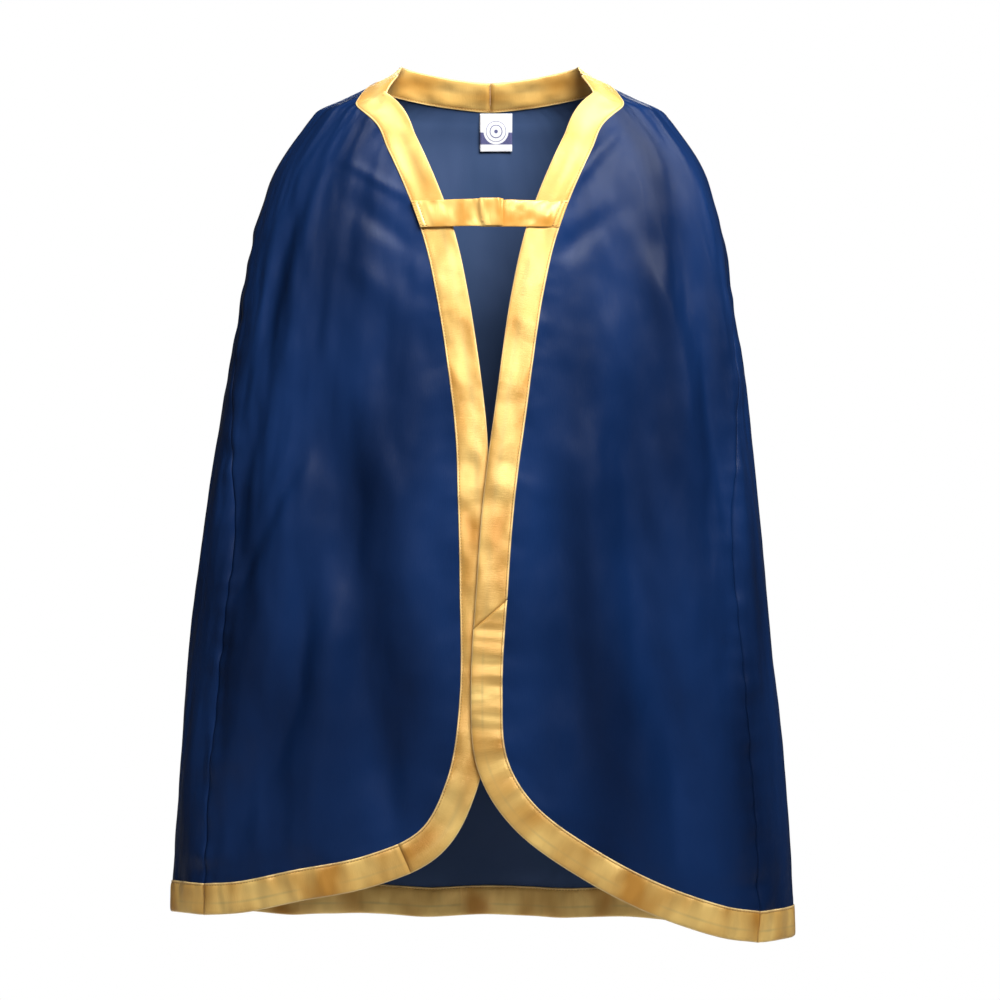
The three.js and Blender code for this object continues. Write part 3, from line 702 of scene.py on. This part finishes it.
def stitch_tree():
    """Geometry Nodes that lay one lock stitch after another along each route."""
    tree = bpy.data.node_groups.new("lock stitches", "GeometryNodeTree")
    tree.interface.new_socket("Routes", in_out="INPUT", socket_type="NodeSocketGeometry")
    sizes = {}
    for name, value in (("Pitch", 0.0026), ("Stitch length", 0.0021), ("Thread radius", 0.00026)):
        socket = tree.interface.new_socket(name, in_out="INPUT", socket_type="NodeSocketFloat")
        socket.default_value = value
        sizes[name] = socket.identifier
    finish = tree.interface.new_socket("Thread", in_out="INPUT", socket_type="NodeSocketMaterial")
    sizes["Thread"] = finish.identifier
    tree.interface.new_socket("Stitches", in_out="OUTPUT", socket_type="NodeSocketGeometry")
    made = {kind: tree.nodes.new(kind) for kind in (
        "NodeGroupInput", "NodeGroupOutput", "GeometryNodeMeshToCurve", "GeometryNodeCurveToPoints",
        "GeometryNodeMeshUVSphere", "GeometryNodeTransform", "GeometryNodeInstanceOnPoints",
        "GeometryNodeRealizeInstances", "GeometryNodeSetShadeSmooth", "GeometryNodeSetMaterial",
        "ShaderNodeCombineXYZ")}
    given = made["NodeGroupInput"]
    points = made["GeometryNodeCurveToPoints"]
    points.mode = "LENGTH"
    ball = made["GeometryNodeMeshUVSphere"]
    ball.inputs["Segments"].default_value = 6
    ball.inputs["Rings"].default_value = 5
    ball.inputs["Radius"].default_value = 1.0
    half = tree.nodes.new("ShaderNodeMath")
    half.operation = "MULTIPLY"
    half.inputs[1].default_value = 0.5
    size = made["ShaderNodeCombineXYZ"]
    links = [
        (given.outputs["Routes"], made["GeometryNodeMeshToCurve"].inputs["Mesh"]),
        (made["GeometryNodeMeshToCurve"].outputs["Curve"], points.inputs["Curve"]),
        (given.outputs["Pitch"], points.inputs["Length"]),
        (given.outputs["Stitch length"], half.inputs[0]),
        (given.outputs["Thread radius"], size.inputs["X"]),
        (given.outputs["Thread radius"], size.inputs["Y"]),
        (half.outputs[0], size.inputs["Z"]),
        (ball.outputs["Mesh"], made["GeometryNodeTransform"].inputs["Geometry"]),
        (size.outputs[0], made["GeometryNodeTransform"].inputs["Scale"]),
        (points.outputs["Points"], made["GeometryNodeInstanceOnPoints"].inputs["Points"]),
        (made["GeometryNodeTransform"].outputs["Geometry"],
         made["GeometryNodeInstanceOnPoints"].inputs["Instance"]),
        (points.outputs["Rotation"], made["GeometryNodeInstanceOnPoints"].inputs["Rotation"]),
        (made["GeometryNodeInstanceOnPoints"].outputs["Instances"],
         made["GeometryNodeRealizeInstances"].inputs["Geometry"]),
        (made["GeometryNodeRealizeInstances"].outputs["Geometry"],
         made["GeometryNodeSetShadeSmooth"].inputs["Geometry"]),
        (made["GeometryNodeSetShadeSmooth"].outputs["Geometry"],
         made["GeometryNodeSetMaterial"].inputs["Geometry"]),
        (given.outputs["Thread"], made["GeometryNodeSetMaterial"].inputs["Material"]),
        (made["GeometryNodeSetMaterial"].outputs["Geometry"], made["NodeGroupOutput"].inputs["Stitches"]),
    ]
    for start, end in links:
        tree.links.new(start, end)
    return tree, sizes


def stitches(name, routes, material, tree, sizes, **changes):
    mesh = bpy.data.meshes.new(name + "_routes")
    points, edges = [], []
    for route in routes:
        first = len(points)
        points += (np.asarray(route) * MM).tolist()
        edges += [(first + step, first + step + 1) for step in range(len(route) - 1)]
    mesh.from_pydata(points, edges, [])
    guide = bpy.data.objects.new(name + "_guide", mesh)
    bpy.context.scene.collection.objects.link(guide)
    modifier = guide.modifiers.new("stitches", "NODES")
    modifier.node_group = tree
    modifier[sizes["Thread"]] = material
    for key, value in changes.items():
        modifier[sizes[key]] = value
    evaluated = guide.evaluated_get(bpy.context.evaluated_depsgraph_get())
    done = bpy.data.meshes.new_from_object(evaluated)
    bpy.data.objects.remove(guide)
    done.name = name
    piece = bpy.data.objects.new(name, done)
    bpy.context.scene.collection.objects.link(piece)
    return piece


# ---- finishes ----

class Wire:
    """A socket whose sums add the Math nodes that work them out."""

    def __init__(self, finish, socket):
        self.finish = finish
        self.socket = socket

    def sum(self, operation, *others):
        node = self.finish.tree.nodes.new("ShaderNodeMath")
        node.operation = operation
        for slot, value in zip(node.inputs, others):
            self.finish.feed(slot, value)
        return Wire(self.finish, node.outputs[0])

    def __add__(self, other):
        return self.sum("ADD", self, other)

    def __sub__(self, other):
        return self.sum("SUBTRACT", self, other)

    def __rsub__(self, other):
        return self.sum("SUBTRACT", other, self)

    def __mul__(self, other):
        return self.sum("MULTIPLY", self, other)

    def __truediv__(self, other):
        return self.sum("DIVIDE", self, other)

    __radd__ = __add__
    __rmul__ = __mul__

    def sine(self):
        return self.sum("SINE", self)

    def absolute(self):
        return self.sum("ABSOLUTE", self)

    def root(self):
        return self.sum("SQRT", self)

    def below(self, limit):
        return self.sum("LESS_THAN", self, limit)

    def above(self, limit):
        return self.sum("GREATER_THAN", self, limit)

    def clamp(self):
        return self.sum("MAXIMUM", self.sum("MINIMUM", self, 1.0), 0.0)


class Finish:
    """One material with a Principled shader."""

    def __init__(self, name):
        self.material = bpy.data.materials.new(name)
        self.material.use_nodes = True
        self.tree = self.material.node_tree
        self.tree.nodes.clear()
        self.shader = self.tree.nodes.new("ShaderNodeBsdfPrincipled")
        output = self.tree.nodes.new("ShaderNodeOutputMaterial")
        self.tree.links.new(self.shader.outputs[0], output.inputs[0])

    def feed(self, slot, value):
        if isinstance(value, Wire):
            self.tree.links.new(value.socket, slot)
        else:
            slot.default_value = value

    def make(self, kind, settings, inputs, output=0):
        node = self.tree.nodes.new(kind)
        for key, value in settings.items():
            setattr(node, key, value)
        for key, value in inputs.items():
            self.feed(node.inputs[key], value)
        return Wire(self, node.outputs[output])

    def cloth(self):
        split = self.tree.nodes.new("ShaderNodeSeparateXYZ")
        uv = self.make("ShaderNodeUVMap", {"uv_map": "cloth"}, {})
        self.tree.links.new(uv.socket, split.inputs[0])
        return Wire(self, split.outputs[0]), Wire(self, split.outputs[1])

    def speckle(self, u, v, depth=0.0, detail=2.0):
        place = self.make("ShaderNodeCombineXYZ", {}, {0: u, 1: v, 2: depth})
        return self.make("ShaderNodeTexNoise", {"noise_dimensions": "3D"},
                         {"Vector": place, "Scale": 1.0, "Detail": detail, "Roughness": 0.55})

    def mix(self, part, first, second):
        node = self.tree.nodes.new("ShaderNodeMix")
        node.data_type = "RGBA"
        self.feed(node.inputs[0], part)
        self.feed(node.inputs[6], first)
        self.feed(node.inputs[7], second)
        return Wire(self, node.outputs[2])

    def set(self, **values):
        for key, value in values.items():
            self.feed(self.shader.inputs[key.replace("_", " ")], value)

    def raise_by(self, height, distance, strength=1.0):
        bump = self.make("ShaderNodeBump", {}, {"Height": height, "Distance": distance, "Strength": strength})
        self.feed(self.shader.inputs["Normal"], bump)


def shade(colour, factor):
    return tuple(min(1.0, channel * factor) for channel in colour) + (1.0,)


def satin(name, shaded_colour, lit_colour, roughness, specular, ripples, depth, sheen=0.05, metallic=0.0,
          patch=(22.0, 9.0), bound=False, allowance_shadow_half=0.0016):
    """Satin: fine floats across a plain ground, faint slubs, soft crumples and a broad gloss, with painted
    sheen and shade in broad cloudy patches.

    On a bound strip the two folded edges get a painted highlight, and the row of needle holes is darkened
    with painted shade, as in a stitched ditch.
    """
    finish = Finish(name)
    u, v = finish.cloth()
    pitch = 0.00034
    floats = (u * (2 * math.pi / pitch)).sine() * 0.5 + (v * (2 * math.pi / (pitch * 1.6))).sine() * 0.3
    slub = finish.speckle(u * 1500.0, v * 110.0, 1.0)
    cloudy = finish.speckle(u * patch[0], v * patch[1], 3.0, 0.6)
    soft = finish.speckle(u * ripples[0], v * ripples[1], 5.0, 0.8)
    # The cloudy noise mixes the satin's two colours, its shaded and its lit tone. This is painted sheen and
    # shade in broad patches, standing in for the satin's light and dark reflections. The slubs add a little
    # real yarn tone.
    sheen_and_slubs = (cloudy * 2.6 + slub * 0.14 - 0.87).clamp()
    colour = finish.mix(sheen_and_slubs, tuple(shaded_colour) + (1.0,), tuple(lit_colour) + (1.0,))
    if bound:
        across = v.absolute()
        # Painted highlight along both folded edges of the strip.
        fold_edge_highlight = across.below(0.0011) + across.above(0.0251) * across.below(0.03)
        # Painted shade at the needle holes along the stitched ditch, dot by dot at the stitch pitch.
        stitch_ditch_shade = across.above(0.0014) * across.below(0.0022) * (u * (2 * math.pi / 0.0026)).sine().above(-0.2)
        # A darker grey-green streak over the edge of the seam allowance inside. It is painted shadow of the
        # ridge that the allowance raises, with a little of the navy allowance showing through.
        ridge = (1.0 - ((across - 0.0165) / allowance_shadow_half).absolute()).clamp() * (cloudy * 2.4 - 0.9).clamp()
        colour = finish.mix(ridge * 0.35, colour, (0.34, 0.27, 0.13, 1.0))
        colour = finish.mix(fold_edge_highlight * 0.4, colour, (1.0, 0.84, 0.46, 1.0))
        colour = finish.mix(stitch_ditch_shade * 0.45, colour, (0.22, 0.11, 0.03, 1.0))
    finish.set(Base_Color=colour, Roughness=cloudy * 0.14 + slub * 0.1 + (roughness - 0.12),
               Specular_IOR_Level=specular, Sheen_Weight=sheen, Sheen_Roughness=0.4, Metallic=metallic)
    finish.raise_by(soft + slub * 0.02 + floats * 0.006, depth, 0.9)
    return finish.material


def thread(name, colour):
    finish = Finish(name)
    place = finish.make("ShaderNodeTexCoord", {}, {}, "Object")
    ply = finish.make("ShaderNodeTexNoise", {}, {"Vector": place, "Scale": 2400.0, "Detail": 2.0})
    finish.set(Base_Color=finish.mix(ply, shade(colour, 0.72), shade(colour, 1.2)), Roughness=0.55,
               Sheen_Weight=0.3)
    finish.raise_by(ply, 0.0002, 0.5)
    return finish.material


def pile(name, colour, scale):
    finish = Finish(name)
    place = finish.make("ShaderNodeTexCoord", {}, {}, "Object")
    loops = finish.make("ShaderNodeTexVoronoi", {}, {"Vector": place, "Scale": scale}, "Distance")
    finish.set(Base_Color=finish.mix(loops, shade(colour, 1.1), shade(colour, 0.7)), Roughness=0.85)
    finish.raise_by(loops, 0.0006, 0.8)
    return finish.material


def label_ribbon(name):
    """White ribbon: two plain rings round a dot, indigo corners below them and a white turned-up foot."""
    finish = Finish(name)
    u, v = finish.cloth()
    x, y = u * 1000.0, v * 1000.0
    ribs = (v * (2 * math.pi / 0.0005)).sine()
    centre_y = y + 14.7
    far = (x * x + centre_y * centre_y).root()
    ground = y.below(-15.5) * y.above(-25.6)
    outside = far.above(10.8)
    ring = far.above(8.3) * far.below(8.8) + far.above(4.8) * far.below(5.6) + far.below(1.6)
    inked = (ground * outside + ring).clamp()
    white, indigo = (0.80, 0.80, 0.83, 1), (0.018, 0.02, 0.15, 1)
    worn = finish.speckle(u * 900.0, v * 900.0)
    foot = y.below(-25.6) * y.above(-26.2)
    finish.set(Base_Color=finish.mix((inked * (0.82 + worn * 0.18) + foot * 0.35).clamp(), white, indigo),
               Roughness=0.42, Sheen_Weight=0.2, Specular_IOR_Level=0.5)
    finish.raise_by(ribs * 0.4 + worn, 0.0001, 0.5)
    return finish.material


# Each satin's first colour is its shaded tone and its second is its lit tone. The cloudy mix between them is
# painted sheen and shade.
navy = satin("navy_satin", (0.0020, 0.0112, 0.0480), (0.0043, 0.0240, 0.1000), roughness=0.36,
             specular=0.18, sheen=0.0, patch=(15.0, 5.5), ripples=(34.0, 15.0), depth=0.0055)
navy_inside = satin("navy_satin_inside", (0.028, 0.055, 0.125), (0.038, 0.066, 0.146), roughness=0.6,
                    specular=0.15, sheen=0.05, ripples=(20.0, 14.0), depth=0.003)
GOLD_LOOK = {"roughness": 0.34, "specular": 0.34, "metallic": 0.14}
# The gold's amber first colour is painted shade and its pale yellow second colour is painted sheen.
GOLD_SHADED, GOLD_LIT = (0.58, 0.27, 0.045), (0.94, 0.62, 0.19)
gold = satin("gold_hem_satin", GOLD_SHADED, GOLD_LIT, patch=(44.0, 24.0), ripples=(60.0, 16.0), depth=0.0095,
             bound=True, **GOLD_LOOK)
neck_gold = satin("gold_neck_satin", GOLD_SHADED, GOLD_LIT, patch=(20.0, 46.0), ripples=(30.0, 40.0),
                  depth=0.0100, bound=True, allowance_shadow_half=0.0035, **GOLD_LOOK)
strap_gold = satin("gold_strap_satin", GOLD_SHADED, GOLD_LIT, patch=(62.0, 36.0), ripples=(60.0, 50.0),
                   depth=0.003, **GOLD_LOOK)
gold_thread = thread("gold_thread", (0.52, 0.28, 0.07))
navy_thread = thread("navy_thread", (0.01, 0.025, 0.08))
hook_finish = pile("hook_tape_pile", (0.74, 0.64, 0.45), 2600.0)
loop_finish = pile("loop_tape_pile", (0.78, 0.69, 0.50), 1500.0)
label_finish = label_ribbon("label_ribbon")

# ---- the cape ----

back = back_panel([navy, navy_inside])
fronts = {side: front_panel(side, [navy, navy_inside]) for side in (1, -1)}
bands = {"back": band("back_hem_band", HEM, 0, 0, gold, 21.0)}
for side, word in ((1, "left"), (-1, "right")):
    edge = EDGES[side]
    below = edge["height"][NECK_STEPS:]
    cut = NECK_STEPS + int(np.argmin(np.abs(below - JOIN_HEIGHT[side])))
    bias = JOIN_BIAS[side]
    upper, lower = part_of(edge, 0, cut + 1), part_of(edge, cut, None)
    bands[word + "_upper"] = band(word + "_upper_band", upper, 0, bias, neck_gold, 31.0 + side)
    bands[word + "_lower"] = band(word + "_lower_band", lower, bias, 0, gold, 41.0 + side)

straps = {side: strap(side, strap_gold) for side in (1, -1)}
label = neck_label(label_finish)

tree, sizes = stitch_tree()


def beside(frames, across, lift):
    return drape(spot(frames, 0, across, lift))


rows = []
for frames in (EDGES[1], EDGES[-1], HEM):
    rows.append(beside(frames, 1.8, 1.12))
    rows.append(beside(frames, 1.8, -1.12))
centre = part_of(EDGES[1], 0, 1)
rows.append(np.vstack([spot(centre, -0.25, u, -1.75) for u in np.linspace(2, 24, 12)]))
edge_stitching = stitches("edge_stitching", rows, gold_thread, tree, sizes)


def chest_row(corners, lift):
    points = []
    for (x0, z0), (x1, z1) in zip(corners, corners[1:]):
        part = np.linspace(0, 1, 9)
        points.append(chest_spot(x0 + (x1 - x0) * part, z0 + (z1 - z0) * part, np.full(9, lift)))
    return np.vstack(points)


boxes = []
for side in (1, -1):
    high, low = STRAP_HEIGHT + BOX_HALF, STRAP_HEIGHT - BOX_HALF
    inner = [hinge_x(side, z) + side * INNER_ROW for z in (high, low)]
    outer = [hinge_x(side, z) + side * (SEWN_LENGTH - OUTER_ROW) for z in (high, low)]
    boxes.append(chest_row([(outer[0], high), (inner[0], high), (inner[1], low), (outer[1], low),
                            (outer[0], high)], STRAP_LIFT + 0.55))
box_stitching = stitches("strap_box_stitching", boxes, gold_thread, tree, sizes,
                         **{"Pitch": 0.0024, "Stitch length": 0.0018, "Thread radius": 0.00036})

tape_rows = {}
for name, lift in (("hook_tape_stitching", TOP_STRAP_LIFT + 0.95),
                   ("loop_tape_stitching", STRAP_LIFT - 0.85)):
    wide, tall = TAPE_HALF - 1.1, 7.4
    corners = [(wide, STRAP_HEIGHT + tall), (-wide, STRAP_HEIGHT + tall), (-wide, STRAP_HEIGHT - tall),
               (wide, STRAP_HEIGHT - tall), (wide, STRAP_HEIGHT + tall)]
    tape_rows[name] = stitches(name, [chest_row(corners, lift)], gold_thread, tree, sizes, Pitch=0.0022)

seam_rows = []
for side in (1, -1):
    level = np.linspace(NECK_POINT - 2, HEM_HEIGHT[side] + 3, 260)
    seam = frames_along(seam_turn(side, level), level, side)
    seam_rows.append(beside(seam, 0, -0.75))
seam_stitching = stitches("side_seam_stitching", seam_rows, navy_thread, tree, sizes)

for node, finish in (("hook_tape", hook_finish), ("loop_tape", loop_finish)):
    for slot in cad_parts[node].material_slots:
        slot.material = finish

# ---- what each piece stands for and moves with ----

still = [(back, ["back_panel"], "navy_satin"), (fronts[1], ["left_front_panel"], "navy_satin"),
         (fronts[-1], ["right_front_panel"], "navy_satin"),
         (bands["back"], ["back_hem_binding"], "gold_satin")]
for word in ("left", "right"):
    still.append((bands[word + "_upper"], [word + "_upper_binding"], "gold_satin"))
    still.append((bands[word + "_lower"], [word + "_lower_binding"], "gold_satin"))
still.append((edge_stitching, ["left_topstitch", "right_topstitch", "back_hem_topstitch", "neck_join_thread"],
              "gold_thread"))
still.append((box_stitching, ["left_strap_box_stitch", "right_strap_box_stitch"], "gold_thread"))
still.append((seam_stitching, ["left_side_seam_thread", "right_side_seam_thread"], "navy_thread"))
for piece, nodes, slot in still:
    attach(piece, "cape")
    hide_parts(*nodes)

for side, word in ((1, "left"), (-1, "right")):
    high, low = (chest_spot(hinge_x(side, z), z, STRAP_LIFT)[0] * MM
                 for z in (STRAP_HEIGHT + STRAP_WIDTH / 2, STRAP_HEIGHT - STRAP_WIDTH / 2))
    middle = Vector((high + low) / 2)
    line = Vector(high - low).normalized()
    outward = Vector(body_normal(turn_at(np.array([hinge_x(side, STRAP_HEIGHT)]), STRAP_HEIGHT),
                                 np.array([STRAP_HEIGHT]))[0])
    along = line.cross(outward).normalized()
    if along.x * side > 0:
        along.negate()
    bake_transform(straps[side])
    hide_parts(word + "_strap", word + "_strap_end")

for name, body, node in (("hook_tape_stitching", "right_tab", "hook_tape_stitch"),
                         ("loop_tape_stitching", "left_tab", "loop_tape_stitch")):
    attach(tape_rows[name], body)
    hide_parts(node)
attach(label, "label")
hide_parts("neck_label")

# ---- studio ----

scene = bpy.context.scene
scene.view_settings.view_transform = "Standard"


def floor_finish():
    finish = Finish("studio_floor")
    place = finish.make("ShaderNodeTexCoord", {}, {}, "Object")
    grain = finish.make("ShaderNodeTexNoise", {}, {"Vector": place, "Scale": 6.0})
    finish.set(Base_Color=finish.mix(grain, (0.86, 0.86, 0.86, 1), (0.9, 0.9, 0.9, 1)), Roughness=0.8,
               Emission_Color=(0.9, 0.93, 1.0, 1.0), Emission_Strength=0.12)
    return finish.material


floor_mesh = bpy.data.meshes.new("floor")
FLOOR_HALF_WIDTH, FLOOR_FRONT, FLOOR_BACK, FLOOR_LEVEL = 1.6, -1.5, 1.0, -0.95
floor_corners = ((-FLOOR_HALF_WIDTH, FLOOR_FRONT), (FLOOR_HALF_WIDTH, FLOOR_FRONT),
                 (FLOOR_HALF_WIDTH, FLOOR_BACK), (-FLOOR_HALF_WIDTH, FLOOR_BACK))
floor_mesh.from_pydata([(x, y, FLOOR_LEVEL) for x, y in floor_corners], [], [(0, 1, 2, 3)])
floor_mesh.materials.append(floor_finish())
floor = bpy.data.objects.new("floor", floor_mesh)
scene.collection.objects.link(floor)


def soft_light(name, place, aim, width, height, power, spread=math.pi):
    lamp = bpy.data.lights.new(name, "AREA")
    lamp.shape = "RECTANGLE"
    lamp.size = width
    lamp.size_y = height
    lamp.energy = power
    lamp.spread = spread
    holder = bpy.data.objects.new(name, lamp)
    holder.location = place
    holder.rotation_euler = (Vector(aim) - Vector(place)).to_track_quat("-Z", "Y").to_euler()
    scene.collection.objects.link(holder)


soft_light("key_softbox", (0.42, -0.92, 0.74), (0, 0, 0.0), 0.9, 0.6, 11, math.radians(86))
soft_light("front_fill", (-0.9, -1.9, 0.1), (0, 0, -0.35), 1.2, 1.6, 2.6)
soft_light("back_softbox", (0.1, 2.0, 0.95), (0, 0, -0.3), 1.2, 0.7, 16)

world = bpy.data.worlds.new("studio")
scene.world = world
world.use_nodes = True
nodes, links = world.node_tree.nodes, world.node_tree.links
nodes.clear()
seen, ambient, choose, path, out = (nodes.new(kind) for kind in (
    "ShaderNodeBackground", "ShaderNodeBackground", "ShaderNodeMixShader", "ShaderNodeLightPath",
    "ShaderNodeOutputWorld"))
seen.inputs[0].default_value = (1, 1, 1, 1)
ambient.inputs[0].default_value = (0.93, 0.96, 1, 1)
ambient.inputs[1].default_value = 0.085
links.new(path.outputs["Is Camera Ray"], choose.inputs[0])
links.new(ambient.outputs[0], choose.inputs[1])
links.new(seen.outputs[0], choose.inputs[2])
links.new(choose.outputs[0], out.inputs[0])

camera = bpy.data.cameras.new("camera")
camera.sensor_width = 36
camera.lens = 93.93
holder = bpy.data.objects.new("camera", camera)
holder.location = (0.0084, -2.2, -0.3288)
holder.rotation_euler = (math.pi / 2, 0, 0)
scene.collection.objects.link(holder)
scene.camera = holder
